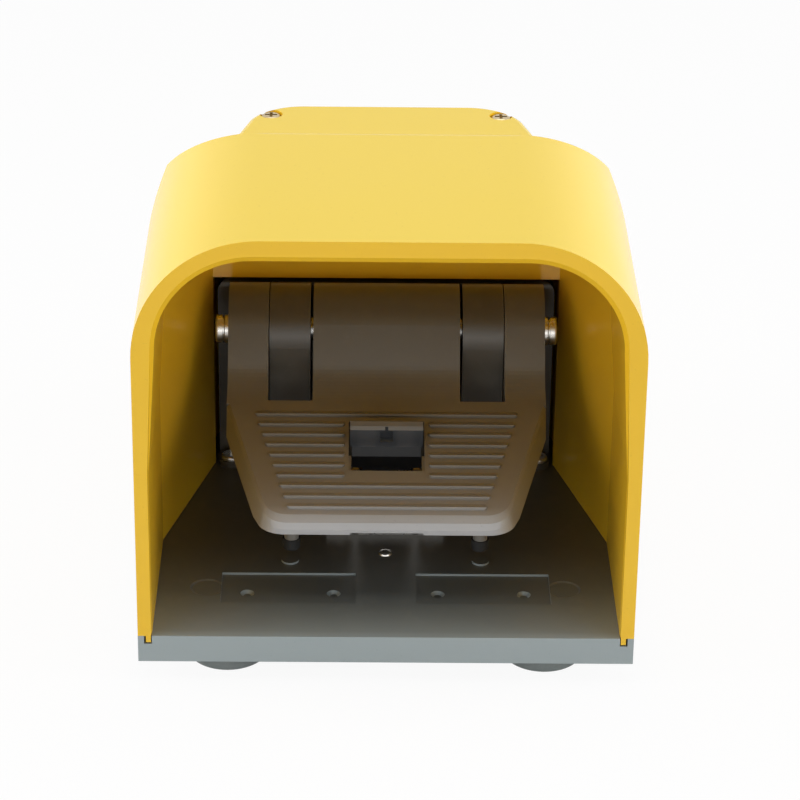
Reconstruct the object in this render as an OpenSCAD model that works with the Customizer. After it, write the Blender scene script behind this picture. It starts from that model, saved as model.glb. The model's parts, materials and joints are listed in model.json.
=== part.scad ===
// Industrial foot switch with a protective hood, a ribbed pedal and a toe-operated safety catch.
// Millimetres. X is across, Y runs from the open front (-) to the terminal end (+), Z is up.
// The origin is on the floor, under the middle of the base.

/* [Overall] */
// Width of the base and hood
body_w = 160; // [150:1:194]
// Length from the open front to the rear wall
body_l = 215; // [206:1:260]
// Height of the hood's roof above the underside of the base
hood_h = 148; // [140:1:180]
// Angle at which the flanks draw in towards the rear
flank_angle = 15; // [10:1:16]
// Distance from the front at which the flanks start to draw in
flank_start = 88; // [80:1:96]
// Radius of the two rear corners
rear_r = 21; // [18:1:26]

/* [Base] */
// Height of the base
base_h = 9.4; // [8:0.1:13]
// Thickness of the floor inside the hood
floor_t = 3.6; // [3:0.1:5]
// Width of the solid edge around the base
edge_w = 6.8; // [6:0.1:9]
// Thickness of the stiffening ribs under the floor
base_rib_t = 2; // [1.5:0.1:3]
// Radius of the bosses that hold the fixing inserts
insert_boss_r = 6.5; // [6:0.1:8]
// Spacing of the floor fixing inserts across
fixing_x = 118; // [100:1:122]
// Spacing of the floor fixing inserts front to rear
fixing_y = 108; // [90:1:112]
// Distance of the front fixing inserts from the front
fixing_start = 32; // [26:1:40]

/* [Hood] */
// Radius of the hood's two top corners
hood_r = 40; // [34:1:46]
// Length of the flat roof
roof_l = 90; // [84:1:100]
// Wall of the hood
wall = 4.6; // [4:0.1:5.5]
// Thickness of the rim at the upper sides
rim_side = 7.2; // [6.4:0.1:9]
// Thickness of the rim at the roof
rim_top = 7.6; // [6:0.1:9]
// Radius inside the rim's top corners
rim_r = 30.5; // [26:0.5:34]
// Height at which the sides start to thicken towards the rim's corners
thick_start = 67; // [50:1:80]
// Depth of the tunnel from the front to the bulkhead
tunnel_l = 121.4; // [118:0.2:124]
// Distance from the front at which the inner cheeks start to close in
cheek_start = 64; // [56:1:72]
// Thickness of the bulkhead behind the tunnel
bulkhead_t = 4; // [3:0.5:5]
// Width of the tongue under the hood's edge
tongue_w = 1.6; // [1.2:0.1:2.2]
// Height of the tongue
tongue_h = 2.3; // [1.5:0.1:3]

/* [Terminal lid] */
// Height of the seat that the lid lies on
lid_seat = 106; // [104:1:112]
// Distance from the front to the lid's front edge
lid_start = 134; // [133:1:140]
// Thickness of the lid
lid_t = 4; // [3.5:0.1:5]
// Width of the ledge under the lid
ledge_w = 10; // [9.6:0.1:12]
// Width of the lid gasket
gasket_w = 2.2; // [1.6:0.1:2.4]
// Thickness of the lid gasket
gasket_t = 1.4; // [1:0.1:2]

/* [Cable entry] */
// Core radius of the M20 thread
entry_r = 9.25; // [9.2:0.05:9.3]
// Height of the cable entry above the underside of the base
entry_h = 36; // [32:1:44]
// Length of the threaded wall
entry_l = 13; // [11:0.5:16]

/* [Hinge] */
// Distance of the axle from the front
axle_y = 108.5; // [107:0.5:109]
// Height of the axle above the underside of the base
axle_z = 68.3; // [67:0.1:69]
// Radius of the axle
axle_r = 4.2; // [4:0.1:4.6]
// Radius of the pedal's barrel and of the knuckles
barrel_r = 16; // [15:0.5:16.5]
// Radius of the bushes in the barrel
bush_r = 6; // [5.6:0.1:7]
// Length of each bush
bush_l = 9; // [7:0.5:10]
// Distance from the middle to the near face of each knuckle
knuckle_x = 25.9; // [25:0.1:28]
// Width of each knuckle
knuckle_w = 13.9; // [12:0.1:14]

/* [Pedal] */
// Width of the barrel and of the widest part of the pedal
pedal_w = 107.6; // [104:0.2:109]
// Slope of the footplate at rest
plate_tilt = 15; // [13:0.5:16]
// Length of the footplate from its heel to its front
plate_l = 67.4; // [62:0.2:70]
// Thickness of the footplate
plate_t = 3.6; // [3:0.1:4.5]
// Depth of the skirt around the footplate
skirt_h = 8; // [6:0.5:9]
// Angle at which the footplate narrows towards its front
plate_angle = 14.6; // [12:0.2:16]
// Pitch of the grip ribs
rib_pitch = 5.04; // [4.8:0.02:5.1]
// Number of grip ribs
rib_count = 10; // [8:1:10]
// Height of the grip ribs
rib_h = 0.9; // [0.6:0.1:1.2]
// Width of the grip ribs
rib_w = 2.8; // [2.2:0.1:3.2]
// Half the width of the window in the footplate
window_hw = 12.6; // [12:0.1:14]
// Travel of the pedal in degrees
pedal_travel = 6; // [5:0.5:6]

/* [Safety catch] */
// Distance of the catch pin from the front
catch_y = 66; // [65.5:0.5:66.5]
// Height of the catch pin above the underside of the base
catch_z = 34; // [33.5:0.5:34.5]
// Radius of the catch pin
catch_pin_r = 2; // [1.5:0.1:2.2]
// Half the width of the catch's head
catch_hw = 12.1; // [11:0.1:12.1]

/* [Switch housing and contacts] */
// Distance of the housing's front wall from the front
housing_y = 126.5; // [126.3:0.1:127.5]
// Half the width of the housing's front wall
housing_hw = 58.7; // [58:0.1:59]
// Height of the housing's front wall above the underside of the base
housing_h = 79; // [77:0.5:79.2]
// Wall of the housing
housing_wall = 3.2; // [2.6:0.1:4]
// Distance of each contact block from the middle
contact_x = 14; // [12.5:0.5:15]
// Width of a contact block
contact_w = 20; // [18:0.5:22]
// Length of a contact block
contact_l = 36; // [32:1:40]
// Height of a contact block
contact_h = 40; // [36:1:46]
// Radius of the plungers
plunger_r = 3; // [2.5:0.1:3.5]
// Height of the plungers above the underside of the base
plunger_z = 38; // [37:0.5:39]

/* [Springs] */
// Distance of each return spring from the middle
spring_x = 47.4; // [46.5:0.1:48]
// Mean radius of a return spring
spring_r = 3.9; // [3.2:0.1:4.1]
// Wire radius of a return spring
spring_wire_r = 0.6; // [0.4:0.05:0.7]
// Turns of a return spring
spring_turns = 6; // [4:1:7]

/* [Feet and screws] */
// Height of the rubber feet
foot_h = 7; // [5:0.5:10]
// Radius of the rubber feet
foot_r = 13; // [11:0.5:14]
// Radius of the M4 screws
screw_r = 1.95; // [1.9:0.01:2]
// Radius of the M4 screw heads
screw_head_r = 3.6; // [3.4:0.1:3.9]

/* [Hidden] */
$fn = 64;

yellow = "gold";
grey = "slategray";
dark = "dimgray";
steel = "silver";

eps = 0.01;
play = 0.05;            // radial clearance of a running fit
slip = 0.3;             // clearance between parts that pass each other
half_w = body_w / 2;
flank_t = tan(flank_angle);
corner_y = body_l - rear_r;
corner_x = half_w - (corner_y - flank_start) * flank_t - rear_r / cos(flank_angle);
in_top = hood_h - rim_top;
in_low_hw = half_w - wall;
in_high_hw = half_w - rim_side;
slope_foot = lid_start - 3;
compartment_y = tunnel_l + bulkhead_t;
seat_t = 4;
entry_boss_r = entry_r + 4.5;
lid_screw_inset = 4.6;
lid_front_screw_y = lid_start + 6;
pillar_r = 5;
pillar_sink = 1.2;      // how far the rear pillars run into the wall
corner_pillar = (rear_r - wall - pillar_r + pillar_sink) * cos(45);
hood_pillars = [[(flank_x(106) + cheek_x(106)) / 2, 106], [flank_x(160) - 5.3, 160],
    [corner_x + corner_pillar, corner_y + corner_pillar]];
pilot_r = screw_r + play;
foot_spots = [[51.7, 18.5], [30, body_l - 29]];
foot_screw_r = 2.45;
insert_r = 4.5;
insert_bore_r = 2.5;
insert_l = 6;
pad_d = 0.8;
groove_in = 4.5;
groove_out = 2;
groove_d = tongue_h + 0.6;
tongue_in = groove_in - 0.3;
tongue_out = tongue_in - tongue_w;
seam = 0.35;            // relief between the cheeks and the floor
heel_from_axle = [-24.5, -10.1];
ramp_angle = 60;
heel_r = 17.5;
taper_start = -9;
lip_r = 8;
window_rear = -17.6;
window_front = -42;
rib_row0 = -15.4;
rib_edge = 7.8;
slot_l = 31.5;
slot_x0 = knuckle_x - 1;
slot_x1 = knuckle_x + knuckle_w + slip;
post = [31.4, -63.5];
stop_h = 0.7;           // height of the landing bosses over the floor
stop_gap = 0.6;         // left between buffer and boss at full travel
post_tip_z = base_h + stop_h + stop_gap - axle_z - post.y * sin(pedal_travel);
post_r = 2.4;
buffer_r = 2.9;
buffer_h = 4;
buffer_overlap = 4;
web_rear = 9.5;
web_foot_z = plunger_z - axle_z - 4;
spring_cup_r = spring_r + spring_wire_r + 0.5;
spring_cup_d = 5;
cap_r = 5;
cap_l = 2.4;
axle_half = pedal_w / 2 + 3.9;
washer_t = 1.75;
skirt_foot_z = -32.3;
leg_hw = 5;
leg_front = -36.5;
leg_t = 4;
leg_foot_z = -47.3;
plunger_tip_y = axle_y + web_rear + slip;
plunger_l = 18;
contact_y = housing_y + housing_wall + 1.5;
housing_floor = base_h + housing_wall;
housing_l = 68;
housing_gap = 2.9;      // between the housing's top edge and the bulkhead above it
lug_r = 4.2;
lug_t = 2.4;
lug_x = 54.4;
lug_reach = 5;
bracket_hw = 11.2;
bracket_t = 2;
bracket_ear_w = 10;
bracket_y = 3;

// Half width of the hood's outside and of the tunnel's cheeks at y
function flank_x(y) = half_w - max(0, y - flank_start) * flank_t;
function cheek_x(y) = in_low_hw - max(0, y - cheek_start) * flank_t;
function unit(v) = v / norm(v);
// Points of a round of radius r in the corner b between a and c.
function round_at(a, b, c, r, n = 8) =
    let (u = unit(a - b), w = unit(c - b), h = acos(u * w) / 2, o = b + unit(u + w) * (r / sin(h)),
        p = b + u * (r / tan(h)) - o, q = b + w * (r / tan(h)) - o, s = 180 - 2 * h)
    [for (i = [0:n]) o + (p * sin(s * (1 - i / n)) + q * sin(s * i / n)) / sin(s)];
function mirrored(points) = concat(points,
    [for (i = [len(points) - 1:-1:0]) [-points[i].x, points[i].y]]);

module on_floor() { translate([0, -body_l / 2, foot_h]) children(); }
module both() {
    children();
    mirror([1, 0, 0]) children();
}
module left_right(x) { for (side = [-1, 1]) translate([side * x, 0, 0]) children(); }
// Extrudes an X-Z outline from y0 to y1.
module along(y0, y1) { translate([0, y1, 0]) rotate([90, 0, 0]) linear_extrude(y1 - y0) children(); }
// Extrudes a Y-Z outline from x0 to x1.
module across(x0, x1) { translate([x0, 0, 0]) rotate([90, 0, 90]) linear_extrude(x1 - x0) children(); }
module rod_x(r, x0, x1) { translate([x0, 0, 0]) rotate([0, 90, 0]) cylinder(r = r, h = x1 - x0); }
module rod_y(r, y0, y1) { translate([0, y1, 0]) rotate([90, 0, 0]) cylinder(r = r, h = y1 - y0); }
module at_axle() { translate([0, axle_y, axle_z]) children(); }
// Frame of the footplate: X across, Y up the slope, Z out of its top face, origin at the heel.
module on_plate() {
    translate([0, axle_y + heel_from_axle.x, axle_z + heel_from_axle.y])
        rotate([plate_tilt, 0, 0]) children();
}

// Outline of the base, drawn in by inset, from y0 to the rear.
module plan(inset, y0 = 0) {
    r = rear_r - inset;
    kink = flank_start - inset * tan(flank_angle / 2);
    flank = flank_x(y0) - inset / cos(flank_angle);
    front = y0 < kink ? [[half_w - inset, y0], [half_w - inset, kink]] : [[flank, y0]];
    rear = [[corner_x + r * cos(flank_angle), corner_y + r * sin(flank_angle)],
        [corner_x, corner_y + r]];
    polygon(mirrored(concat(front, rear)));
    left_right(corner_x) translate([0, corner_y]) circle(r);
}

// Outline of an arch with round top corners; low_hw is its half width below z_step.
module arch(hw, top, r, low_hw, z_step) {
    polygon(mirrored([[low_hw, -foot_h], [low_hw, z_step], [hw, top - r], [hw - r, top]]));
    left_right(hw - r) translate([0, top - r]) circle(r);
}
module tunnel_arch() { arch(in_high_hw, in_top, rim_r, in_low_hw, thick_start); }

// Cross-recessed pan head screw, pointing down from the underside of its head.
module screw(r, l, head_r, head_h) {
    slot = head_r * 0.3;
    difference() {
        union() {
            translate([0, 0, -l]) cylinder(r = r, h = l);
            rotate_extrude() polygon(concat([[0, 0], [head_r, 0]],
                round_at([head_r, 0], [head_r, head_h], [0, head_h], head_h * 0.6, 5), [[0, head_h]]));
        }
        for (a = [0, 90]) rotate(a)
            translate([-head_r * 0.62, -slot / 2, head_h * 0.35]) cube([head_r * 1.24, slot, head_h]);
    }
}

// ---- base ----

// Places that repeat on both sides of the base
module at_feet() { both() for (p = foot_spots) translate([p.x, p.y, 0]) children(); }
module at_pillars() { both() for (p = hood_pillars) translate([p.x, p.y, 0]) children(); }
module at_fixings() {
    both() for (y = [fixing_start, fixing_start + fixing_y]) translate([fixing_x / 2, y, 0]) children();
}
module at_lugs() { left_right(lug_x) translate([0, housing_y - lug_reach, 0]) children(); }
module at_rear_screws() { left_right(34) translate([0, housing_y + 46, 0]) children(); }
module at_housing_screws() {
    at_lugs() children();
    at_rear_screws() children();
}
module at_contact_screws() {
    for (side = [-1, 1], dx = [-6, 6])
        translate([side * contact_x + dx, contact_y + contact_l - 6, 0]) children();
}
module at_bracket_screws() { left_right(15.5) translate([0, catch_y + bracket_y + 5, 0]) children(); }

module base_plate() {
    rib_rows = [36, 72, 104, 136, 168];
    color(grey) on_floor() difference() {
        union() {
            difference() {
                linear_extrude(base_h) plan(0);
                translate([0, 0, -eps]) linear_extrude(base_h - floor_t) plan(edge_w, edge_w - 2);
            }
            intersection() {
                translate([0, 0, 1]) linear_extrude(base_h - floor_t) plan(edge_w - 1, 1);
                union() {
                    for (y = rib_rows) translate([-half_w, y, 0]) cube([body_w, base_rib_t, base_h]);
                    both() for (x = [19, 57]) translate([x, 0, 0]) cube([base_rib_t, body_l, base_h]);
                }
            }
            linear_extrude(base_h - 1) intersection() {
                plan(1);
                union() {
                    at_feet() circle(8);
                    at_pillars() circle(pillar_r + 2);
                    at_fixings() circle(insert_boss_r);
                    at_housing_screws() circle(pillar_r);
                    at_bracket_screws() circle(pillar_r);
                }
            }
            left_right(32) translate([0, 50.4, 0]) cylinder(r = buffer_r, h = base_h + stop_h);
        }
        translate([0, 0, base_h - groove_d]) linear_extrude(base_h) difference() {
            plan(groove_out, -1);
            plan(groove_in, -1);
        }
        at_feet() translate([0, 0, -1]) cylinder(r = foot_screw_r + play, h = base_h - 1);
        at_pillars() translate([0, 0, -1]) {
            cylinder(r = screw_r + slip, h = base_h + 2);
            cylinder(r = screw_head_r + 0.4, h = 1 + 3.4);
        }
        at_fixings() {
            translate([0, 0, -1]) cylinder(r = insert_r, h = insert_l + 1);
            translate([0, 0, base_h - 0.3])
                cylinder(r1 = insert_boss_r - 1.6, r2 = insert_boss_r - 0.8, h = 0.3 + eps);
        }
        at_housing_screws() translate([0, 0, -1]) cylinder(r = pilot_r, h = base_h + 2);
        at_bracket_screws() translate([0, 0, -1]) cylinder(r = pilot_r, h = base_h + 2);
        translate([0, 56, -1]) cylinder(r = 1.2, h = base_h + 2);
        // shallow pads with four witness dimples in the floor
        both() translate([10, 22, base_h - pad_d]) cube([44.4, 20, 1]);
        both() for (x = [17.2, 45.7]) translate([x, 29.6, base_h - pad_d - 1])
            cylinder(r1 = 1.3, r2 = 2.3, h = 1 + eps);
    }
}

module fixing_inserts() {
    color("goldenrod") on_floor() at_fixings() difference() {
        cylinder(r = insert_r - play / 2, h = insert_l);
        translate([0, 0, -1]) cylinder(r = insert_bore_r, h = insert_l + 2);
    }
}

module rubber_feet() {
    bore = foot_screw_r + slip;
    color("darkgray") on_floor() at_feet() rotate_extrude() polygon(concat(
        [[bore, 0], [foot_r - 1, 0], [foot_r, -foot_h + 2]],
        round_at([foot_r, -foot_h + 2], [foot_r, -foot_h], [bore, -foot_h], 1.2, 4),
        [[5.6, -foot_h], [5.6, -3.4], [bore, -3.4]]));
}

module foot_screws() {
    color(steel) on_floor() at_feet() translate([0, 0, -3.4]) mirror([0, 0, 1])
        screw(foot_screw_r, 3.4 + base_h - 3, 4.4, 2.6);
}

module floor_rivet() {
    color("lightgray") on_floor() translate([0, 56, 0]) {
        rotate_extrude() polygon([[0, 1], [1.15, 1], [1.15, base_h], [2.3, base_h],
            [2.1, base_h + 0.45], [1.2, base_h + 0.7], [0, base_h + 0.8]]);
    }
}

// ---- hood ----

// Side outline of the hood and rear body
module hood_side() {
    top = [[-1, hood_h], [roof_l, hood_h], [slope_foot, lid_seat], [body_l + 1, lid_seat]];
    polygon(concat([[-1, base_h], top[0]], round_at(top[0], top[1], top[2], 4, 5),
        round_at(top[1], top[2], top[3], 3, 4), [top[3], [body_l + 1, base_h]]));
}
// The same slope, one wall further in
module tunnel_side() {
    run = unit([slope_foot - roof_l, lid_seat - hood_h]);
    start = [roof_l, hood_h] + [run.y, -run.x] * wall;
    high = start - run * 40;
    low = start + run * ((tunnel_l - start.x) / run.x);
    polygon([[-1, 0], [-1, high.y], high, low, [tunnel_l, 0]]);
}
module tunnel_plan() {
    polygon(mirrored([[half_w, -1], [half_w, cheek_start - eps], [in_low_hw, cheek_start],
        [cheek_x(tunnel_l), tunnel_l + eps]]));
}
// Outline of a pocket between the cheek and the flank
module core_outline(y0, y1) {
    kink = y0 < flank_start ? [[half_w - wall, flank_start]] : [];
    polygon(concat([[cheek_x(y0) + 3, y0], [flank_x(y0) - wall, y0]], kink,
        [[flank_x(y1) - wall, y1], [cheek_x(y1) + 3, y1]]));
}
module at_lid_screws() {
    a = 42;
    front_x = flank_x(lid_front_screw_y) - lid_screw_inset / cos(flank_angle);
    rear_d = rear_r - lid_screw_inset;
    both() {
        translate([corner_x + rear_d * cos(a), corner_y + rear_d * sin(a), 0]) children();
        translate([front_x, lid_front_screw_y, 0]) children();
    }
}

module hood() {
    bevel = 2.4;
    color(yellow) on_floor() difference() {
        union() {
            difference() {
                intersection() {
                    translate([0, 0, base_h]) linear_extrude(hood_h) plan(0);
                    along(-1, body_l + 1) arch(half_w, hood_h, hood_r, half_w, base_h);
                    across(-half_w - 1, half_w + 1) hood_side();
                }
                intersection() {
                    along(-2, body_l) tunnel_arch();
                    translate([0, 0, base_h - 1]) linear_extrude(hood_h) tunnel_plan();
                    across(-half_w, half_w) tunnel_side();
                }
                translate([0, 0, base_h - 1]) linear_extrude(lid_seat - seat_t - base_h + 1)
                    plan(wall, compartment_y);
                // coring pockets in the thick cheeks, open underneath
                both() translate([0, 0, base_h - 1]) linear_extrude(92) {
                    core_outline(82, 99);
                    core_outline(113, tunnel_l);
                }
            }
            intersection() {
                translate([0, 0, base_h]) linear_extrude(lid_seat - base_h) plan(1);
                union() {
                    at_pillars() cylinder(r = pillar_r, h = 60);
                    translate([0, 0, lid_seat - 22]) at_lid_screws() cylinder(r = 4.6, h = 22);
                    translate([0, 0, entry_h]) rod_y(entry_boss_r, body_l - entry_l, body_l);
                }
            }
            translate([0, 0, base_h - tongue_h]) linear_extrude(tongue_h + 1) difference() {
                plan(tongue_out, 0);
                plan(tongue_in, -1);
            }
        }
        // rounded inner edge of the rim
        hull() {
            along(-1, -eps) arch(in_high_hw + bevel / 2, in_top + bevel, rim_r + bevel / 2,
                in_low_hw + 0.3, thick_start);
            along(bevel - eps, bevel) tunnel_arch();
        }
        // relief along the feet of the cheeks
        translate([0, 0, base_h]) linear_extrude(seam)
            polygon(mirrored([[in_low_hw + seam, -1], [in_low_hw + seam, cheek_start],
                [cheek_x(tunnel_l) + seam, tunnel_l]]));
        // opening for the switch housing
        along(tunnel_l - 1, compartment_y + 1) translate([-cheek_x(tunnel_l), 0])
            square([2 * cheek_x(tunnel_l), housing_h + housing_gap]);
        // opening under the lid, with the gasket's groove around it
        translate([0, 0, lid_seat - seat_t - 1]) linear_extrude(seat_t + 2)
            plan(ledge_w, lid_start + ledge_w);
        translate([0, 0, lid_seat - gasket_t]) linear_extrude(gasket_t + 1) difference() {
            plan(ledge_w - 0.5 - gasket_w, lid_start + ledge_w - 0.5 - gasket_w);
            plan(ledge_w - 0.5, lid_start + ledge_w - 0.5);
        }
        at_lid_screws() translate([0, 0, lid_seat - 16]) cylinder(r = pilot_r, h = 18);
        at_pillars() translate([0, 0, base_h - tongue_h - 1]) cylinder(r = pilot_r, h = 18);
        translate([0, 0, entry_h]) {
            rod_y(entry_r, body_l - entry_l - 1, body_l + 1);
            rod_y(entry_boss_r, body_l - 0.6, body_l + 1);
        }
    }
}

module hood_screws() {
    color(steel) on_floor() at_pillars() translate([0, 0, 3.4]) mirror([0, 0, 1])
        screw(screw_r, base_h + 8, screw_head_r, 2.4);
}

module terminal_lid() {
    top = lid_seat + lid_t;
    color(yellow) on_floor() difference() {
        hull() {
            translate([0, 0, lid_seat]) linear_extrude(eps) plan(0.1, lid_start);
            translate([0, 0, top - 2.2]) linear_extrude(eps) plan(0, lid_start);
            translate([0, 0, top - 0.7]) linear_extrude(eps) plan(0.6, lid_start + 0.6);
            translate([0, 0, top - eps]) linear_extrude(eps) plan(2, lid_start + 2);
        }
        at_lid_screws() {
            translate([0, 0, lid_seat - 1]) cylinder(r = screw_r + slip, h = lid_t + 2);
            translate([0, 0, top - 2.4]) cylinder(r = screw_head_r + 0.6, h = 3);
        }
    }
}

module lid_gasket() {
    color("black") on_floor() translate([0, 0, lid_seat - gasket_t]) linear_extrude(gasket_t) difference() {
        plan(ledge_w - 0.4 - gasket_w, lid_start + ledge_w - 0.4 - gasket_w);
        plan(ledge_w - 0.6, lid_start + ledge_w - 0.6);
    }
}

module lid_screws() {
    color(steel) on_floor() at_lid_screws() translate([0, 0, lid_seat + lid_t - 2.4])
        screw(screw_r, 14, screw_head_r, 2.2);
}

// ---- switch housing and contacts ----

module housing_plan(inset) {
    near = housing_hw - inset;
    far = near - housing_l * flank_t;
    polygon(mirrored([[near - inset * flank_t, housing_y + inset],
        [far + inset * flank_t, housing_y + housing_l - inset]]));
}
// Side outline of a knuckle: a round eye on a deep arm with an upright front
module knuckle_side() {
    front = axle_y - barrel_r;
    root = housing_y + 1;
    foot = [front, axle_z - barrel_r - 10];
    polygon(concat([[front, axle_z]], round_at([front, axle_z], foot, [root, foot.y - 8], 3, 4),
        [[root, foot.y - 8], [root, housing_h - 1.4], [axle_y + 3, axle_z + barrel_r - 0.4]]));
    translate([axle_y, axle_z]) circle(barrel_r);
}
// Side outline of the housing, round along its top front edge
module housing_side() {
    far = housing_y + housing_l + 1;
    polygon(concat([[housing_y, 0]], round_at([housing_y, 0], [housing_y, housing_h], [far, housing_h], 3, 6),
        [[far, housing_h], [far, 0]]));
}

module switch_housing() {
    notch_hw = 16;
    top_r = 5;
    color(dark) on_floor() difference() {
        union() {
            intersection() {
                difference() {
                    translate([0, 0, base_h]) linear_extrude(housing_h - base_h) housing_plan(0);
                    translate([0, 0, housing_floor]) linear_extrude(housing_h) housing_plan(housing_wall);
                }
                along(housing_y - 1, housing_y + housing_l + 1)
                    arch(housing_hw + eps, housing_h, top_r, housing_hw + eps, base_h);
                across(-half_w, half_w) housing_side();
            }
            // lugs at the foot of the front wall
            at_lugs() translate([0, 0, base_h]) {
                cylinder(r = lug_r, h = lug_t);
                translate([-lug_r, 0, 0]) cube([2 * lug_r, lug_reach + 1, lug_t]);
            }
            both() across(knuckle_x, knuckle_x + knuckle_w) knuckle_side();
            // spring seats and plunger guides on the front wall
            left_right(spring_x) translate([0, 0, plunger_z])
                rod_y(spring_r - spring_wire_r - 0.3, housing_y - 2, housing_y + 1);
            left_right(contact_x) translate([0, 0, plunger_z])
                rod_y(plunger_r + 2.2, housing_y - 1.6, contact_y);
        }
        at_axle() rod_x(axle_r + play / 2, -half_w, half_w);
        left_right(contact_x) translate([0, 0, plunger_z]) {
            rod_y(plunger_r + play, housing_y - 3, contact_y + 1);
            rod_y(plunger_r + 1.2, housing_y - 3, housing_y - 0.4);
        }
        at_housing_screws() translate([0, 0, base_h - 1]) cylinder(r = screw_r + slip, h = 10);
        at_contact_screws() translate([0, 0, base_h + 0.6]) cylinder(r = pilot_r, h = 10);
        // cable notch in the rear wall
        translate([-notch_hw, housing_y + housing_l - housing_wall - 1, entry_h - 14])
            cube([2 * notch_hw, housing_wall + 2, housing_h]);
    }
}

module housing_screws() {
    color(steel) on_floor() {
        at_lugs() translate([0, 0, base_h + lug_t])
            screw(screw_r, lug_t + base_h - 1, screw_head_r, 1.5);
        at_rear_screws() translate([0, 0, housing_floor])
            screw(screw_r, housing_floor - 1, screw_head_r, 2.4);
    }
}

// Contact block with a stepped top for the terminals and a hole for its plunger
module contact_block(x) {
    step = 11;
    ear_h = 9;
    ear_l = 12;
    back = contact_l - ear_l;
    color("white") on_floor() translate([x, contact_y, housing_floor]) difference() {
        across(-contact_w / 2, contact_w / 2) polygon([[0, 0], [contact_l, 0], [contact_l, ear_h],
            [back, ear_h], [back, contact_h - step], [back - 7, contact_h - step],
            [back - 7, contact_h], [1.5, contact_h], [0, contact_h - 1.5]]);
        translate([0, 0, plunger_z - housing_floor]) rod_y(plunger_r + play, -1, 15);
        for (dx = [-6, 6]) {
            translate([dx, contact_l - 6, -1]) cylinder(r = screw_r + slip, h = ear_h + 2);
            translate([dx * 0.78, 9, contact_h - 8]) cylinder(r = pilot_r, h = 9);
            translate([dx * 0.78, back - 3.6, contact_h - step - 8]) cylinder(r = pilot_r, h = 9);
        }
        translate([-0.8, 2, contact_h - 5]) cube([1.6, back - 12, 6]);
    }
}
module contact_block_left() { contact_block(-contact_x); }
module contact_block_right() { contact_block(contact_x); }

module contact_screws() {
    color(steel) on_floor() at_contact_screws() translate([0, 0, housing_floor + 9])
        screw(screw_r, 11, screw_head_r, 2.4);
}

module terminal_screws() {
    color("goldenrod") on_floor() for (x = [-contact_x, contact_x], dx = [-4.68, 4.68])
        translate([x + dx, contact_y, housing_floor]) {
            translate([0, 9, contact_h]) screw(screw_r, 6, 3.2, 2.2);
            translate([0, contact_l - 15.6, contact_h - 11]) screw(screw_r, 6, 3.2, 2.2);
        }
}

module plunger(x) {
    color("white") on_floor() translate([x, 0, plunger_z]) rotate([-90, 0, 0]) rotate_extrude()
        polygon(concat([[0, plunger_tip_y + plunger_l], [plunger_r, plunger_tip_y + plunger_l]],
            round_at([plunger_r, plunger_tip_y + plunger_l], [plunger_r, plunger_tip_y],
                [0, plunger_tip_y], 2, 6), [[0, plunger_tip_y]]));
}
module plunger_left() { plunger(-contact_x); }
module plunger_right() { plunger(contact_x); }

module plunger_seals() {
    color("black") on_floor() left_right(contact_x) translate([0, 0, plunger_z]) difference() {
        rod_y(plunger_r + 1.15, housing_y - 1.5, housing_y - 0.4);
        rod_y(plunger_r + play, housing_y - 3, housing_y);
    }
}

// ---- hinge ----

module axle() {
    color(steel) on_floor() at_axle() rod_x(axle_r, -axle_half, axle_half);
}

module axle_caps() {
    inner = pedal_w / 2 + 2.5;
    color(steel) on_floor() at_axle() both() translate([inner, 0, 0]) rotate([0, 90, 0])
        difference() {
            rotate_extrude() polygon(concat([[0, 0], [cap_r, 0]],
                round_at([cap_r, 0], [cap_r, cap_l], [0, cap_l], 0.9, 4), [[0, cap_l]]));
            translate([0, 0, -1]) cylinder(r = axle_r + play / 2, h = axle_half - inner + 1);
        }
}

module thrust_washers() {
    color(steel) on_floor() at_axle() both() translate([pedal_w / 2 + slip / 2, 0, 0]) rotate([0, 90, 0])
        difference() {
            rotate_extrude() polygon([[0, 0], [cap_r - 0.3, 0], [cap_r, 0.3], [cap_r, washer_t - 0.3],
                [cap_r - 0.3, washer_t], [0, washer_t]]);
            translate([0, 0, -1]) cylinder(r = axle_r + play / 2, h = washer_t + 2);
        }
}

module pedal_bushes() {
    color("goldenrod") on_floor() at_axle() both() for (x = [knuckle_x - 1 - bush_l, pedal_w / 2 - bush_l])
        difference() {
            rod_x(bush_r - play / 2, x, x + bush_l);
            rod_x(axle_r + play, x - 1, x + bush_l + 1);
        }
}

// ---- pedal ----

// Outline of the footplate grown by out, ending at front
module plate_outline(out, front) {
    t = tan(plate_angle);
    hw = pedal_w / 2 + out;
    cy = front + lip_r;
    cx = hw - (taper_start - cy) * t - lip_r / cos(plate_angle);
    polygon(mirrored([[hw, 0], [hw, taper_start],
        [cx + lip_r * cos(plate_angle), cy - lip_r * sin(plate_angle)], [cx, front]]));
    left_right(cx) translate([0, cy]) circle(lip_r, $fn = 48);
}
module plate_slab(z, out, front) {
    translate([0, 0, z]) linear_extrude(eps) plate_outline(out, front);
}

// Side outline of the barrel's front, the ramp and the fillet that runs into the footplate
module ramp_side() {
    a = barrel_r * [-cos(90 - ramp_angle), sin(90 - ramp_angle)];
    down = [-cos(plate_tilt), -sin(plate_tilt)];
    under = [sin(plate_tilt), -cos(plate_tilt)];
    heel = heel_from_axle;
    end = heel - taper_start * down;
    polygon(concat([[0, 0], a], round_at(a, heel, end, heel_r, 10),
        [end, end + under * 6, heel - down * 3 + under * 7, [-8, -barrel_r + 2.2], [0, -barrel_r + 1]]));
}

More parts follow.
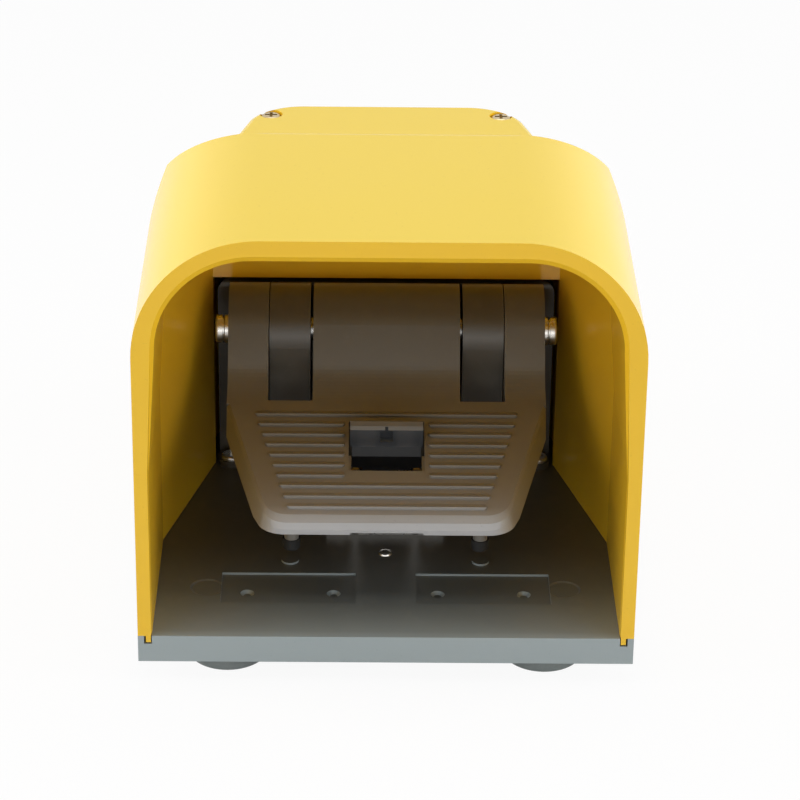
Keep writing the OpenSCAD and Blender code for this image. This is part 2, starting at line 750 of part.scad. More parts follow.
// One grip rib between x0 and x1: it rises to a bevelled front edge and has round ends
module grip_rib(x0, x1) {
    r = rib_w / 2;
    intersection() {
        across(x0, x1) polygon([[rib_w, -1], [rib_w, 0.1], [0.5, rib_h], [0.1, rib_h - 0.3], [0, -1]]);
        translate([0, 0, -1]) linear_extrude(rib_h + 2) {
            translate([x0 + r, 0]) square([x1 - x0 - 2 * r, rib_w]);
            for (x = [x0 + r, x1 - r]) translate([x, r]) circle(r);
        }
    }
}
// Half the width of the footplate at v along it
function plate_hw(v) = pedal_w / 2 - max(0, taper_start - v) * tan(plate_angle);

module grip_ribs() {
    for (i = [0:rib_count - 1]) {
        v = rib_row0 - i * rib_pitch;
        end = plate_hw(min(v, rib_row0 - 1)) - rib_edge;
        translate([0, v, 0])
            if (v < window_rear + 1 && v > window_front - rib_pitch)
                both() grip_rib(window_hw + 1.3, end);
            else
                grip_rib(-end, end);
    }
}

module pedal() {
    color(dark) on_floor() difference() {
        union() {
            difference() {
                union() {
                    on_plate() intersection() {
                        hull() {
                            plate_slab(-eps, -1, -plate_l + 4.2);
                            plate_slab(-1.1, -0.1, -plate_l + 1.4);
                            plate_slab(-3, 0.2, -plate_l + 0.1);
                            plate_slab(-skirt_h, 2.1, -plate_l - 0.5);
                        }
                        translate([-pedal_w / 2, -body_l, -body_l]) cube([pedal_w, 2 * body_l, 2 * body_l]);
                    }
                    at_axle() {
                        rod_x(barrel_r, -pedal_w / 2, pedal_w / 2);
                        across(-pedal_w / 2, pedal_w / 2) ramp_side();
                    }
                }
                // level lower edge at the front, and hollow underside
                at_axle() translate([-half_w, -body_l, skirt_foot_z - 20]) cube([body_w, body_l - 20, 20]);
                on_plate() hull() {
                    translate([0, 0, -plate_t]) mirror([0, 0, 1]) linear_extrude(eps)
                        intersection() {
                            plate_outline(-4.6, -plate_l + 4);
                            translate([-half_w, -body_l]) square([body_w, body_l - 5]);
                        }
                    translate([0, 0, -skirt_h - 1]) mirror([0, 0, 1]) linear_extrude(eps)
                        intersection() {
                            plate_outline(-2.6, -plate_l + 2.4);
                            translate([-half_w, -body_l]) square([body_w, body_l - 3]);
                        }
                }
                // pockets in the barrel, open below
                at_axle() both() translate([2, -4, -barrel_r - 2])
                    cube([knuckle_x - bush_l - 5, 5, 10]);
            }
            // stiffening ribs beside the window and across the plate
            on_plate() both() {
                translate([window_hw + 2, -plate_l + 8, 2.4 - skirt_h])
                    cube([2.2, plate_l - 14, skirt_h - 4]);
                translate([window_hw + 2, -46.4, 1 - skirt_h]) cube([22, 2.2, skirt_h - 3]);
            }
            at_axle() {
                // webs that hang from the barrel and push the plungers and springs
                translate([-knuckle_x + 4, web_rear - 5, web_foot_z])
                    cube([2 * knuckle_x - 8, 5, -web_foot_z - 8]);
                both() translate([slot_x1 + 1, web_rear - 8, web_foot_z - 2])
                    cube([pedal_w / 2 - slot_x1 - 2, 8, -web_foot_z - 6]);
                // leg that the catch stands under
                translate([-leg_hw, leg_front, leg_foot_z]) cube([2 * leg_hw, leg_t, 28]);
                translate([-1.2, leg_front, leg_foot_z + 6]) cube([2.4, leg_t + 6, 24]);
                // posts that carry the buffers
                both() translate([post.x, post.y, post_tip_z + buffer_overlap - 2]) {
                    cylinder(r = post_r, h = -post_tip_z - buffer_overlap - 20.9);
                    translate([0, 0, 12]) cylinder(r = post_r + 1.2, h = 15);
                }
            }
            on_plate() grip_ribs();
        }
        at_axle() {
            rod_x(bush_r, -half_w, half_w);
            // slots for the knuckles
            both() translate([slot_x0, -slot_l, -42]) cube([slot_x1 - slot_x0, slot_l + 30, 80]);
            left_right(spring_x) translate([0, 0, plunger_z - axle_z])
                rod_y(spring_cup_r, web_rear - spring_cup_d, web_rear + 5);
        }
        on_plate() {
            translate([-window_hw, window_front, -1]) cube([2 * window_hw, window_rear - window_front, 4]);
            translate([-window_hw, window_rear - 16, -14]) cube([2 * window_hw, 16, 18]);
            translate([-window_hw + 0.9, window_front + 0.8, -14])
                cube([2 * window_hw - 1.8, window_rear - window_front - 0.8, 18]);
            // notch in the lower front edge
            translate([-11.9, -plate_l - 3, -6]) cube([23.8, 8, 1.9]);
        }
    }
}

module stop_buffers() {
    color("black") on_floor() at_axle() both() translate([post.x, post.y, post_tip_z]) difference() {
        rotate_extrude() polygon([[0, 0], [buffer_r - 0.7, 0], [buffer_r, 0.6], [buffer_r, buffer_h],
            [0, buffer_h]]);
        translate([0, 0, buffer_overlap - 2]) cylinder(r = post_r + play / 2, h = 5);
    }
}

// ---- safety catch ----

module at_catch() { translate([0, catch_y, catch_z]) children(); }

module catch_bracket() {
    h = catch_z - base_h;
    color(steel) on_floor() difference() {
        union() {
            translate([-20, catch_y + bracket_y, base_h]) cube([40, bracket_ear_w, bracket_t]);
            at_catch() both() across(bracket_hw - bracket_t, bracket_hw) {
                polygon([[bracket_y, -h], [bracket_y + bracket_ear_w, -h], [4.3, 1.4], [-4.5, 0]]);
                circle(4.5);
            }
        }
        at_catch() rod_x(catch_pin_r + play / 2, -half_w, half_w);
        at_bracket_screws() cylinder(r = screw_r + slip, h = 30);
    }
}
module catch_bracket_screws() {
    color(steel) on_floor() at_bracket_screws() translate([0, 0, base_h + bracket_t])
        screw(screw_r, base_h, screw_head_r, 2.4);
}
module catch_pin() {
    color(steel) on_floor() at_catch() {
        rod_x(catch_pin_r, -bracket_hw - 1, bracket_hw + 1);
        both() rod_x(catch_pin_r + 0.9, bracket_hw, bracket_hw + 1);
    }
}

module catch_lever() {
    hub_r = 4.4;
    hub_hw = bracket_hw - bracket_t - slip;
    coil_w = 6;
    color("darkslategray") on_floor() at_catch() difference() {
        union() {
            // head that stands up through the pedal's window, and the apron under it
            across(-catch_hw, catch_hw) polygon([[-10, 15.7], [-10, 21.9], [-9.1, 22.95], [-7.4, 23.9],
                [-6.6, 23.8], [-3.8, 21.8], [-3.8, 15.7]]);
            across(0.6 - catch_hw, catch_hw - 0.6) polygon([[-7.8, 16], [-3.8, 16], [-3.8, 5.6], [-5.6, 5.6],
                [-7.8, 11]]);
            across(-8, 8) polygon([[-5.6, 8], [-3.8, 10], [1.6, 3], [-3, -2]]);
            rod_x(hub_r, -hub_hw, hub_hw);
            // arm and hook that stand under the pedal's leg
            across(-4.5, 4.5) polygon([[-4, 0], [1, -3.5], [0.6, -14.8], [8.5, -14.8], [8.5, -17.3],
                [-3, -17.3], [-4.4, -8]]);
        }
        rod_x(catch_pin_r + play, -half_w, half_w);
        // room for the spring's coil
        translate([hub_hw - coil_w, 0, 0]) difference() {
            rod_x(hub_r + 2, 0, coil_w + 1);
            rod_x(catch_pin_r + 0.6, -1, coil_w + 2);
        }
        // recess in the middle of the head's face, and a nick in the edge above it
        translate([-2.1, -10.5, 17.6]) cube([4.2, 3.1, 4.1]);
        translate([-0.5, -10.5, 21]) cube([1, 1.7, 1.8]);
    }
}

module catch_spring() {
    r = 3.3;
    wire = 0.45;
    lean = 24.2;
    coil_l = 5.4;
    outer_x = bracket_hw - bracket_t - slip - 0.3;
    color("gainsboro") on_floor() at_catch() {
        translate([outer_x, 0, 0]) rotate([0, 0, 90]) coil_y(0, coil_l, r, wire, 4 + lean / 360);
        translate([outer_x - wire, r, 0.4]) mirror([0, 0, 1])
            cylinder(r = wire + 0.05, h = catch_z - base_h - bracket_t - slip + 0.4);
        translate([outer_x - coil_l + wire, r * cos(lean), r * sin(lean)]) rotate([lean, 0, 0])
            translate([0, 0, -0.4]) cylinder(r = wire + 0.05, h = 12.8);
    }
}

// ---- return springs ----

// Open coil along Y as a swept tube, from y0 to y1
function coil_frame(i, n, turns, r, pitch) =
    let (a = 360 * turns * i / n) [r * cos(a), pitch * turns * i / n, r * sin(a), a];
module coil_y(y0, y1, r, wire, turns) {
    steps = ceil(14 * turns);
    sides = 7;
    pitch = (y1 - y0 - 2 * wire) / turns;
    points = [for (i = [0:steps]) let (p = coil_frame(i, steps, turns, r, pitch))
        for (j = [0:sides - 1]) let (b = 360 * j / sides)
            [p[0] + wire * cos(b) * cos(p[3]), p[1] + wire * sin(b), p[2] + wire * cos(b) * sin(p[3])]];
    faces = concat([[for (j = [0:sides - 1]) j]],
        [for (i = [0:steps - 1], j = [0:sides - 1]) let (k = (j + 1) % sides)
            [i * sides + k, i * sides + j, (i + 1) * sides + j, (i + 1) * sides + k]],
        [[for (j = [sides - 1:-1:0]) steps * sides + j]]);
    translate([0, y0 + wire, 0]) polyhedron(points, faces);
}
module return_spring(x) {
    color("gainsboro") on_floor() translate([x, 0, plunger_z])
        coil_y(axle_y + web_rear - spring_cup_d, housing_y, spring_r, spring_wire_r, spring_turns);
}
module return_spring_left() { return_spring(-spring_x); }
module return_spring_right() { return_spring(spring_x); }

base_plate();
hood();
terminal_lid();
lid_gasket();
lid_screws();
hood_screws();
switch_housing();
housing_screws();
contact_block_left();
contact_block_right();
contact_screws();
terminal_screws();
plunger_seals();
rubber_feet();
foot_screws();
fixing_inserts();
floor_rivet();
catch_bracket();
catch_bracket_screws();
axle();
axle_caps();
thrust_washers();
pedal();
pedal_bushes();
stop_buffers();
catch_lever();
catch_pin();
catch_spring();
plunger_left();
plunger_right();
return_spring_left();
return_spring_right();
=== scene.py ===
import json
import math

import bpy
from mathutils import Matrix, Vector


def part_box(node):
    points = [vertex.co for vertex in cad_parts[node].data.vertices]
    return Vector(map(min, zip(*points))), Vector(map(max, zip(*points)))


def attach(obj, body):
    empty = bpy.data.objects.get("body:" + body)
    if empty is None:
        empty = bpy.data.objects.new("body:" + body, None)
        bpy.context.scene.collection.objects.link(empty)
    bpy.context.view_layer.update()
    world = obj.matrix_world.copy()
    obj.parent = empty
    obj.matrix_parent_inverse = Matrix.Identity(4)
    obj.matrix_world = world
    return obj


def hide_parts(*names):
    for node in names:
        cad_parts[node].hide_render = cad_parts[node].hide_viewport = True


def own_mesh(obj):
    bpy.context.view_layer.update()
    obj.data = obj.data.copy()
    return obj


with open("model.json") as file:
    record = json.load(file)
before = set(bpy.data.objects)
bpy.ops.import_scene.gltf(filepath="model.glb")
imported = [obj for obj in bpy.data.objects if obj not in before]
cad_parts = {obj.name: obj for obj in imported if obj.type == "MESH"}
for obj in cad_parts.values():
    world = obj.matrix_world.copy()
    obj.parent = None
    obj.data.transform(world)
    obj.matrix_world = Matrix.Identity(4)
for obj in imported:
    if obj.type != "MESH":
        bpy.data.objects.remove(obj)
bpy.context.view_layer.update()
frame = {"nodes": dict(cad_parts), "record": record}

# ---- camera ----

# The place, the angles in degrees and the lens are fitted to the base's front edges, the hood's rim
# and the lid's outline as the picture shows them.
MM = 0.001
LENS, SENSOR = 144.0, 36.0
NEAREST, FARTHEST = 0.05, 20
EYE = Vector((-10.3, -998.9, 540.8)) * MM
HEADING, DIP, TILT = map(math.radians, (0.88, 26.22, 0.8))


def aim_camera():
    """A long lens in front of the hood, looking down into it."""
    ahead = Vector((math.sin(HEADING) * math.cos(DIP), math.cos(HEADING) * math.cos(DIP),
                    -math.sin(DIP)))
    level = Vector((math.cos(HEADING), -math.sin(HEADING), 0))
    upright = level.cross(ahead)
    right = level * math.cos(TILT) + upright * math.sin(TILT)
    up = upright * math.cos(TILT) - level * math.sin(TILT)
    turn = Matrix((right, up, -ahead)).transposed().to_4x4()
    lens = bpy.data.cameras.new("camera")
    lens.lens, lens.sensor_width = LENS, SENSOR
    lens.clip_start, lens.clip_end = NEAREST, FARTHEST
    camera = bpy.data.objects.new("camera", lens)
    camera.matrix_world = Matrix.Translation(EYE) @ turn
    bpy.context.scene.collection.objects.link(camera)
    bpy.context.scene.camera = camera


# ---- materials as nodes ----

EVEN = (1, 1, 1)


class Reading:
    """One value of a finish. Arithmetic on it adds Math nodes."""

    def __init__(self, finish, socket):
        self.finish, self.socket = finish, socket

    def work(self, operation, *terms):
        return self.finish.node("ShaderNodeMath", {"operation": operation}, dict(enumerate(terms)))

    def __add__(self, other):
        return self.work("ADD", self, other)

    def __sub__(self, other):
        return self.work("SUBTRACT", self, other)

    def __rsub__(self, other):
        return self.work("SUBTRACT", other, self)

    def __mul__(self, other):
        return self.work("MULTIPLY", self, other)

    __radd__ = __add__


class Finish:
    """A material and its nodes."""

    def __init__(self, name):
        self.material = bpy.data.materials.new(name)
        self.material.use_nodes = True
        self.tree = self.material.node_tree
        self.tree.nodes.clear()

    def node(self, kind, settings=None, sockets=None, out=0):
        """Adds a node: its settings first, then the values or links of its sockets."""
        made = self.tree.nodes.new(kind)
        for name, value in (settings or {}).items():
            if name == "stops":
                ramp = made.color_ramp.elements
                while len(ramp) < len(value):
                    ramp.new(0.5)
                for stop, (at, colour) in zip(ramp, value):
                    stop.position, stop.color = at, (*colour, 1)
            else:
                setattr(made, name, value)
        for name, value in (sockets or {}).items():
            if isinstance(value, Reading):
                self.tree.links.new(value.socket, made.inputs[name])
            else:
                made.inputs[name].default_value = value
        return Reading(self, made.outputs[out]) if made.outputs else made

    def place(self, stretch=EVEN):
        """Object coordinates in metres, stretched along the row's axes."""
        at = self.node("ShaderNodeTexCoord", out="Object")
        if stretch == EVEN:
            return at
        return self.node("ShaderNodeVectorMath", {"operation": "MULTIPLY"}, {0: at, 1: stretch})

    def along(self, axis):
        """The distance from the row's origin along one axis, in metres."""
        return self.node("ShaderNodeSeparateXYZ", sockets={0: self.place()}, out=axis)

    def noise(self, scale, detail=3.0, rough=0.5, stretch=EVEN):
        return self.node("ShaderNodeTexNoise",
                         sockets={"Vector": self.place(stretch), "Scale": scale, "Detail": detail,
                                  "Roughness": rough},
                         out="Fac")

    def ramp(self, value, low, high):
        """0 below low, 1 above high, smooth between."""
        return self.node("ShaderNodeMapRange", {"interpolation_type": "SMOOTHSTEP"},
                         {"Value": value, "From Min": low, "From Max": high})

    def mark(self, kind):
        """How strongly a kind of mark shows, 0 to 1."""
        noise, low, high = MARKS[kind]
        return self.ramp(self.noise(**noise), low, high)

    def facing_up(self):
        """1 on faces that look up, 0 on upright ones, -1 on those that look down."""
        normal = self.node("ShaderNodeTexCoord", out="Normal")
        return self.node("ShaderNodeSeparateXYZ", sockets={0: normal}, out="Z")

    def graded(self, value, low, high, stops):
        """A colour that changes with the value, through stops laid between low and high."""
        share = self.node("ShaderNodeMapRange",
                          sockets={"Value": value, "From Min": low, "From Max": high})
        return self.node("ShaderNodeValToRGB", {"stops": stops}, {"Fac": share})

    def mix(self, share, first, second):
        """The first colour where share is 0, the second where it is 1."""
        first, second = ((*c, 1) if isinstance(c, tuple) else c for c in (first, second))
        return self.node("ShaderNodeMix", {"data_type": "RGBA"}, {0: share, 6: first, 7: second},
                         out=2)

    def bump(self, height, depth, under=None):
        """Relief of the given depth in metres."""
        sockets = {"Height": height, "Distance": depth, "Strength": 1.0}
        if under:
            sockets["Normal"] = under
        return self.node("ShaderNodeBump", sockets=sockets)

    def surface(self, **sockets):
        sockets = {name.replace("_", " "): value for name, value in sockets.items()}
        shader = self.node("ShaderNodeBsdfPrincipled", sockets=sockets)
        self.node("ShaderNodeOutputMaterial", sockets={"Surface": shader})
        return self.material


# ---- finishes ----

# The noise behind each kind of mark (its scale is per metre), and the values between which the mark
# comes in.
MARKS = {
    "rubbing": ({"scale": 46, "detail": 6, "rough": 0.65}, 0.56, 0.74),
    "scuffs": ({"scale": 70, "detail": 8, "rough": 0.75, "stretch": (1, 6, 3)}, 0.62, 0.72),
    "specks": ({"scale": 900, "detail": 1}, 0.7, 0.78),
    "dust": ({"scale": 160, "detail": 5, "rough": 0.7}, 0.5, 0.85),
    "stains": ({"scale": 120, "detail": 4, "rough": 0.6}, 0.42, 0.72),
    "bloom": ({"scale": 210, "detail": 5, "rough": 0.7}, 0.4, 0.8),
}
DRIFT = {"scale": 14, "detail": 2}
MOULD_GRAIN = {"scale": 2400, "detail": 2, "rough": 0.6}
MOULD_WAVE, WAVE_DEPTH = {"scale": 30, "detail": 1}, 0.0001
DRAWING_LINES, LINE_DEPTH = {"scale": 1500, "detail": 3, "rough": 0.6}, 0.000015
PORES, PORE_DEPTH = {"scale": 3200, "detail": 2}, 0.00003
BLOTCHES = {"scale": 38, "detail": 5, "rough": 0.6}
TREAD_BLOTCHES = {"scale": 24, "detail": 4}
DUST_COLOUR = (0.5, 0.47, 0.42)
# How far a face must look up to take the painted top light, the floor's painted shade or the catch's
# painted top light.
TOP_LIGHT_FACES, TAKES_FLOOR_SHADE, CATCH_TOP_FACES = (0.1, 0.85), (0.6, 0.9), (0.25, 0.5)

# Painted light and shade that change along the row. Reaches are in metres: along Y for the floor's
# painted shade and the treadle's painted light and shade, off the middle for the catch's painted
# reflections, and up for the bottom edge of its head, below which shade is painted.
FLOOR_REACH = (-0.1075, -0.0475)
# The floor's painted shade, darker deeper inside the hood.
FLOOR_PAINTED_SHADE = ((0.0, (0.3, 0.35, 0.36)), (0.06, (0.235, 0.27, 0.275)), (0.5, (0.125, 0.14, 0.14)),
               (1.0, (0.085, 0.085, 0.08)))
FLOOR_BLOTCH_COLOUR = (0.17, 0.17, 0.155)
TREAD_REACH = (-0.0895, -0.0095)
# The treadle's painted highlight at the front and painted shade towards the barrel.
TREAD_PAINTED_LIGHT = ((0.0, (0.46, 0.46, 0.47)), (0.05, (0.4, 0.4, 0.4)), (0.11, (0.29, 0.277, 0.257)),
              (0.45, (0.2, 0.187, 0.162)), (0.8, (0.14, 0.13, 0.107)), (1.0, (0.078, 0.07, 0.05)))
# The catch's painted reflections in two patches, painted light on its top faces and painted shade
# below its head.
PATCH_INNER, PATCH_OUTER, HEAD_BOTTOM = (0.0025, 0.0045), (0.008, 0.0105), (0.0558, 0.0566)
PATCH_PAINTED_REFLECTION, CATCH_TOP_PAINTED_LIGHT = (0.05, 0.053, 0.058), (0.16, 0.16, 0.152)
UNDER_HEAD_PAINTED_SHADE = (0.008, 0.008, 0.009)


def moulded(name, colour, worn, rough, painted_top_light=None, shaded=None, relief=0.00003, dust=0.0, **fixed):
    """Moulded plastic: mould grain, a slow drift of shade, rubbing, scuffs and a little dust.

    Faces that look up take a paler colour, painted light on the lit tops. shaded(finish, shade) adds
    what one piece has alone.
    """
    f = Finish(name)
    drift, grain = f.noise(**DRIFT), f.noise(**MOULD_GRAIN)
    rubbed, scuffs = f.mark("rubbing"), f.mark("scuffs")
    shade = f.mix(drift * 0.5 + rubbed * 0.3, colour, worn)
    # Painted light: faces that look up take a paler colour.
    if painted_top_light:
        shade = f.mix(f.ramp(f.facing_up(), *TOP_LIGHT_FACES), shade, painted_top_light)
    if shaded:
        shade = shaded(f, shade)
    shade = f.mix(f.mark("specks") * 0.12, shade, tuple(c * 0.55 for c in colour))
    if dust:
        shade = f.mix(f.mark("dust") * dust, shade, DUST_COLOUR)
    gloss = rough + (drift - 0.5) * 0.06 + scuffs * 0.06 + (grain - 0.5) * 0.05
    skin = f.bump(grain * 0.35, relief)
    wave = f.bump(f.noise(**MOULD_WAVE), WAVE_DEPTH, skin)
    return f.surface(Base_Color=shade, Roughness=gloss, Normal=wave, **fixed)


def metal(name, colour, stained, rough, brushed=EVEN):
    """Plated or turned metal: fine drawing lines and dull patches."""
    f = Finish(name)
    lines, stains = f.noise(**DRAWING_LINES, stretch=brushed), f.mark("stains")
    shade = f.mix(stains * 0.6, colour, stained)
    gloss = rough + stains * 0.16 + (lines - 0.5) * 0.12
    return f.surface(Base_Color=shade, Roughness=gloss, Normal=f.bump(lines, LINE_DEPTH),
                     Metallic=1.0)


def rubber(name, colour, dusty, rough):
    """Matte rubber with a fine cloudy bloom."""
    f = Finish(name)
    bloom, pores = f.mark("bloom"), f.noise(**PORES)
    return f.surface(Base_Color=f.mix(bloom * 0.5, colour, dusty), Roughness=rough + bloom * 0.08,
                     Normal=f.bump(pores, PORE_DEPTH), Specular_IOR_Level=0.35)


def shaded_deep_floor(f, shade):
    """Painted shade: the floor inside the hood is paler at the open front and darker further in,
    with random blotches.
    """
    depth_shade = f.graded(f.along("Y"), *FLOOR_REACH, FLOOR_PAINTED_SHADE)
    blotched_shade = f.mix(f.noise(**BLOTCHES) * 0.25, depth_shade, FLOOR_BLOTCH_COLOUR)
    return f.mix(f.ramp(f.facing_up(), *TAKES_FLOOR_SHADE), shade, blotched_shade)


def lit_and_shaded_treadle(f, shade):
    """Painted light and shade: the front of the footplate is painted pale, a painted highlight at
    the lip, and it darkens towards the barrel, painted shade.
    """
    tread = f.graded(f.along("Y"), *TREAD_REACH, TREAD_PAINTED_LIGHT)
    return f.mix(f.noise(**TREAD_BLOTCHES) * 0.25, tread, shade)


def lit_and_shaded_catch(f, shade):
    """Painted light and shade: two paler patches beside the catch's middle are painted reflections,
    pale top faces are painted light, and black below its head is painted shade.
    """
    off_middle = f.node("ShaderNodeMath", {"operation": "ABSOLUTE"}, {0: f.along("X")})
    reflection_patches = f.ramp(off_middle, *PATCH_INNER) * (1 - f.ramp(off_middle, *PATCH_OUTER))
    shade = f.mix(reflection_patches * 0.8, shade, PATCH_PAINTED_REFLECTION)
    shade = f.mix(f.ramp(f.facing_up(), *CATCH_TOP_FACES), shade, CATCH_TOP_PAINTED_LIGHT)
    return f.mix(1 - f.ramp(f.along("Z"), *HEAD_BOTTOM), shade, UNDER_HEAD_PAINTED_SHADE)


def make_finishes():
    """A finish for each material slot of the record, and one for the lid's screws."""
    return {
        # The hood's paler colour on faces that look up is painted light.
        "hood_plastic": moulded(
            "hood_yellow_moulding", colour=(0.84, 0.505, 0.022), worn=(0.86, 0.535, 0.032),
            rough=0.2, painted_top_light=(0.87, 0.62, 0.035), IOR=1.43),
        # The base's floor takes painted shade deeper inside the hood.
        "base_plastic": moulded(
            "base_grey_moulding", colour=(0.3, 0.35, 0.36), worn=(0.34, 0.385, 0.39), rough=0.36,
            shaded=shaded_deep_floor, relief=0.00005, dust=0.06),
        # The pedal takes a painted highlight at its front and painted shade towards the barrel.
        "pedal_plastic": moulded(
            "pedal_dark_moulding", colour=(0.13, 0.122, 0.105), worn=(0.2, 0.19, 0.175), rough=0.34,
            shaded=lit_and_shaded_treadle, relief=0.00006, dust=0.04),
        "housing_plastic": moulded(
            "housing_black_moulding", colour=(0.06, 0.053, 0.038), worn=(0.085, 0.076, 0.058),
            rough=0.34, relief=0.00005, dust=0.03),
        # The catch takes painted reflections, painted top light and painted shade below its head.
        "catch_plastic": moulded(
            "catch_slate_moulding", colour=(0.026, 0.029, 0.034), worn=(0.04, 0.044, 0.05),
            rough=0.3, shaded=lit_and_shaded_catch, relief=0.00004, dust=0.04),
        "contact_plastic": moulded(
            "contact_white_moulding", colour=(0.72, 0.71, 0.66), worn=(0.62, 0.6, 0.54), rough=0.45),
        "steel": metal(
            "zinc_plated_steel", colour=(0.66, 0.65, 0.62), stained=(0.5, 0.49, 0.46), rough=0.26),
        "chromated_steel": metal(
            "yellow_chromated_steel", colour=(0.56, 0.45, 0.27), stained=(0.22, 0.15, 0.08),
            rough=0.3),
        "spring_steel": metal(
            "drawn_spring_wire", colour=(0.5, 0.5, 0.5), stained=(0.34, 0.33, 0.33), rough=0.3,
            brushed=(1, 0.1, 1)),
        "brass": metal(
            "turned_brass", colour=(0.78, 0.56, 0.24), stained=(0.5, 0.34, 0.14), rough=0.24),
        "rubber": rubber(
            "black_rubber", colour=(0.018, 0.018, 0.018), dusty=(0.05, 0.048, 0.046), rough=0.62),
        "foot_rubber": rubber(
            "grey_foot_rubber", colour=(0.2, 0.225, 0.22), dusty=(0.28, 0.3, 0.29), rough=0.6),
    }


def dress(finishes):
    """Each CAD node takes the finish of its slot, but for the lid's screws and the stop buffers."""
    chosen = {part["node"]: part["material_slot"] for part in frame["record"]["subparts"]}
    chosen.update(lid_screws="chromated_steel", stop_buffers="rubber")
    for node, finish in chosen.items():
        mesh = frame["nodes"][node].data
        mesh.materials.clear()
        mesh.materials.append(finishes[finish])


# ---- return springs ----

WIRE_R, COIL_TURNS = 0.0006, 6.0
COIL_STEPS, WIRE_SIDES = 28, 12


def spring_tree():
    """A coil along +Y from the origin, as a Geometry Nodes tree with its sizes as inputs."""
    tree = bpy.data.node_groups.new("wound_spring", "GeometryNodeTree")
    for name, kind in (("Length", "NodeSocketFloat"), ("Radius", "NodeSocketFloat"),
                       ("Wire", "NodeSocketFloat"), ("Turns", "NodeSocketFloat"),
                       ("Finish", "NodeSocketMaterial")):
        tree.interface.new_socket(name, in_out="INPUT", socket_type=kind)
    tree.interface.new_socket("Spring", in_out="OUTPUT", socket_type="NodeSocketGeometry")
    add, link = tree.nodes.new, tree.links.new
    sizes, result = add("NodeGroupInput"), add("NodeGroupOutput")
    coil, wire = add("GeometryNodeCurveSpiral"), add("GeometryNodeCurvePrimitiveCircle")
    coil.inputs["Resolution"].default_value = COIL_STEPS
    wire.inputs["Resolution"].default_value = WIRE_SIDES
    for socket, name in (("Rotations", "Turns"), ("Start Radius", "Radius"),
                         ("End Radius", "Radius"), ("Height", "Length")):
        link(sizes.outputs[name], coil.inputs[socket])
    link(sizes.outputs["Wire"], wire.inputs["Radius"])
    sweep, lay = add("GeometryNodeCurveToMesh"), add("GeometryNodeTransform")
    sweep.inputs["Fill Caps"].default_value = True
    lay.inputs["Rotation"].default_value = (-math.pi / 2, 0, 0)
    real, paint = add("GeometryNodeRealizeInstances"), add("GeometryNodeSetMaterial")
    link(coil.outputs[0], sweep.inputs["Curve"])
    link(wire.outputs[0], sweep.inputs["Profile Curve"])
    for first, second in ((sweep, lay), (lay, real), (real, paint)):
        link(first.outputs[0], second.inputs["Geometry"])
    link(sizes.outputs["Finish"], paint.inputs["Material"])
    link(paint.outputs[0], result.inputs["Spring"])
    return tree


def wind_return_springs(finish):
    """Round wire for the faceted springs, which it hides."""
    tree = spring_tree()
    for side in ("left", "right"):
        low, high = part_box(f"return_spring_{side}")
        blank = bpy.data.objects.new("spring_blank", bpy.data.meshes.new("spring_blank"))
        bpy.context.scene.collection.objects.link(blank)
        winding = blank.modifiers.new("winding", "NODES")
        winding.node_group = tree
        length, radius = high[1] - low[1] - 2 * WIRE_R, (high[0] - low[0]) / 2 - WIRE_R
        sizes = {"Length": length, "Radius": radius, "Wire": WIRE_R, "Turns": COIL_TURNS,
                 "Finish": finish}
        for item in tree.interface.items_tree:
            if item.in_out == "INPUT":
                winding[item.identifier] = sizes[item.name]
        ready = blank.evaluated_get(bpy.context.evaluated_depsgraph_get())
        mesh = bpy.data.meshes.new_from_object(ready)
        bpy.data.objects.remove(blank)
        start = Vector(((low[0] + high[0]) / 2, low[1] + WIRE_R, (low[2] + high[2]) / 2))
        mesh.transform(Matrix.Translation(start))
        for face in mesh.polygons:
            face.use_smooth = True
        spring = bpy.data.objects.new(f"wound_spring_{side}", mesh)
        bpy.context.scene.collection.objects.link(spring)
        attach(spring, "base")
        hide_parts(f"return_spring_{side}")
        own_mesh(spring)


# ---- floor and light ----

FLOOR_HALF, FLOOR_COLOUR, FLOOR_WHITENESS = 6.0, (0.8, 0.8, 0.8), 0.93
# The lamps' target, then each softbox: place in metres, size and power in watts. The powers are
# fitted to the photograph. Of a pair, the right-hand one is given.
MIDDLE = (0, -0.02, 0.08)
SOFTBOXES = (("overhead", (0, 0, 1.5), (1.5, 1.3), 11.8), ("low", (0, -1.5, 0.25), (2.0, 0.4), 3.6))
SOFTBOX_PAIRS = (("side", (1.4, 0, 0.6), (0.9, 0.9), 16.4),
                 ("wide", (1.25, -0.75, 0.45), (0.7, 0.7), 3.0),
                 ("front", (0.95, -1.1, 0.45), (0.7, 0.7), 2.1))


def white_where_seen(name, colour, whiteness):
    """Pale and matte, and near white where the camera or a gloss sees it, with the shadow kept."""
    f = Finish(name)
    path = f.tree.nodes.new("ShaderNodeLightPath")
    seen = [Reading(f, path.outputs[o])
            for o in ("Is Camera Ray", "Is Glossy Ray", "Is Transmission Ray")]
    matte = f.node("ShaderNodeBsdfDiffuse", sockets={"Color": (*colour, 1)})
    white = f.node("ShaderNodeEmission", sockets={"Color": (1, 1, 1, 1), "Strength": 1.0})
    share = f.node("ShaderNodeMath", {"operation": "MINIMUM"},
                   {0: (seen[0] + seen[1] + seen[2]) * whiteness, 1: 1.0})
    mixed = f.node("ShaderNodeMixShader", sockets={0: share, 1: matte, 2: white})
    f.node("ShaderNodeOutputMaterial", sockets={"Surface": mixed})
    return f.material


def lay_floor():
    far, near = FLOOR_HALF, -FLOOR_HALF
    corners = [(near, near, 0), (far, near, 0), (far, far, 0), (near, far, 0)]
    mesh = bpy.data.meshes.new("floor")
    mesh.from_pydata(corners, [], [(0, 1, 2, 3)])
    floor = bpy.data.objects.new("floor", mesh)
    mesh.materials.append(white_where_seen("pale_floor", FLOOR_COLOUR, FLOOR_WHITENESS))
    bpy.context.scene.collection.objects.link(floor)


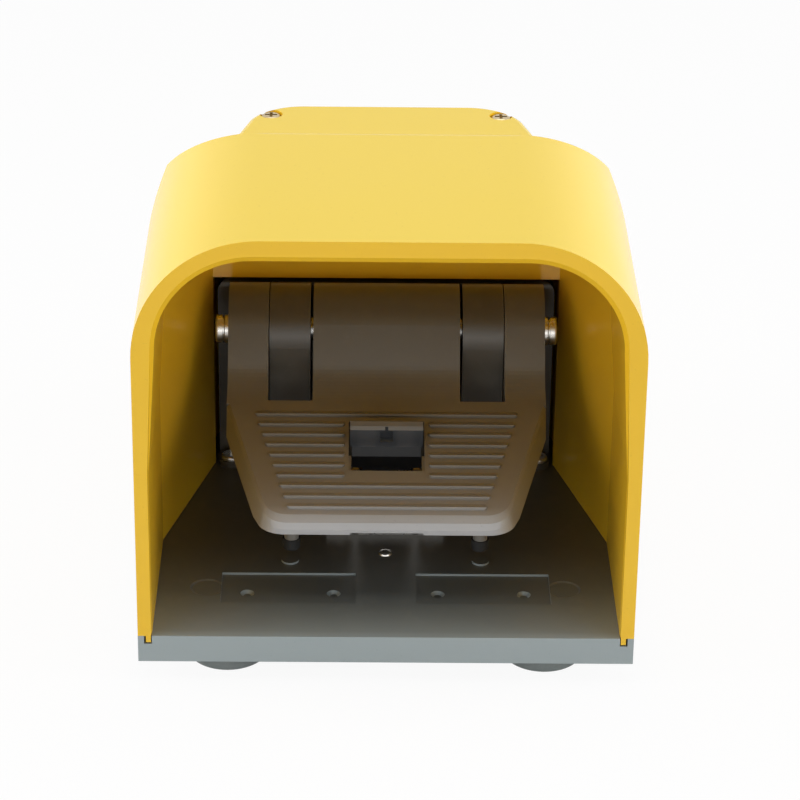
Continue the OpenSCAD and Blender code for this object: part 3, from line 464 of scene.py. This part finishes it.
def hang_softbox(name, place, size, power):
    data = bpy.data.lights.new(name, "AREA")
    data.shape, data.size, data.size_y = "RECTANGLE", *size
    data.energy = power
    lamp = bpy.data.objects.new(name, data)
    lamp.location = place
    lamp.rotation_euler = (Vector(MIDDLE) - Vector(place)).to_track_quat("-Z", "Y").to_euler()
    bpy.context.scene.collection.objects.link(lamp)


def whiten_world():
    """White where the camera, a gloss or a clear piece sees past the floor. It gives no light."""
    world = bpy.data.worlds.new("room")
    bpy.context.scene.world = world
    world.use_nodes = True
    tree = world.node_tree
    tree.nodes.clear()
    path = tree.nodes.new("ShaderNodeLightPath")
    seen, unseen = (tree.nodes.new("ShaderNodeBackground") for _ in range(2))
    for background, strength in ((seen, 1.0), (unseen, 0.0)):
        background.inputs["Color"].default_value = (1, 1, 1, 1)
        background.inputs["Strength"].default_value = strength
    swap = tree.nodes.new("ShaderNodeMixShader")
    out = tree.nodes.new("ShaderNodeOutputWorld")
    share = path.outputs["Is Camera Ray"]
    for ray in ("Is Glossy Ray", "Is Transmission Ray"):
        either = tree.nodes.new("ShaderNodeMath")
        either.operation = "MAXIMUM"
        tree.links.new(share, either.inputs[0])
        tree.links.new(path.outputs[ray], either.inputs[1])
        share = either.outputs[0]
    tree.links.new(share, swap.inputs[0])
    tree.links.new(unseen.outputs[0], swap.inputs[1])
    tree.links.new(seen.outputs[0], swap.inputs[2])
    tree.links.new(swap.outputs[0], out.inputs["Surface"])


def light_studio():
    """A softbox overhead, a low one in front, and three pairs from the sides round to the front."""
    for name, place, size, power in SOFTBOXES:
        hang_softbox(f"{name}_softbox", place, size, power)
    for name, (x, y, z), size, power in SOFTBOX_PAIRS:
        hang_softbox(f"{name}_softbox_left", (-x, y, z), size, power)
        hang_softbox(f"{name}_softbox_right", (x, y, z), size, power)
    whiten_world()


# ---- the scene ----

bpy.context.scene.view_settings.view_transform = "Standard"
aim_camera()
lay_floor()
light_studio()
finishes = make_finishes()
dress(finishes)
wind_return_springs(finishes["spring_steel"])
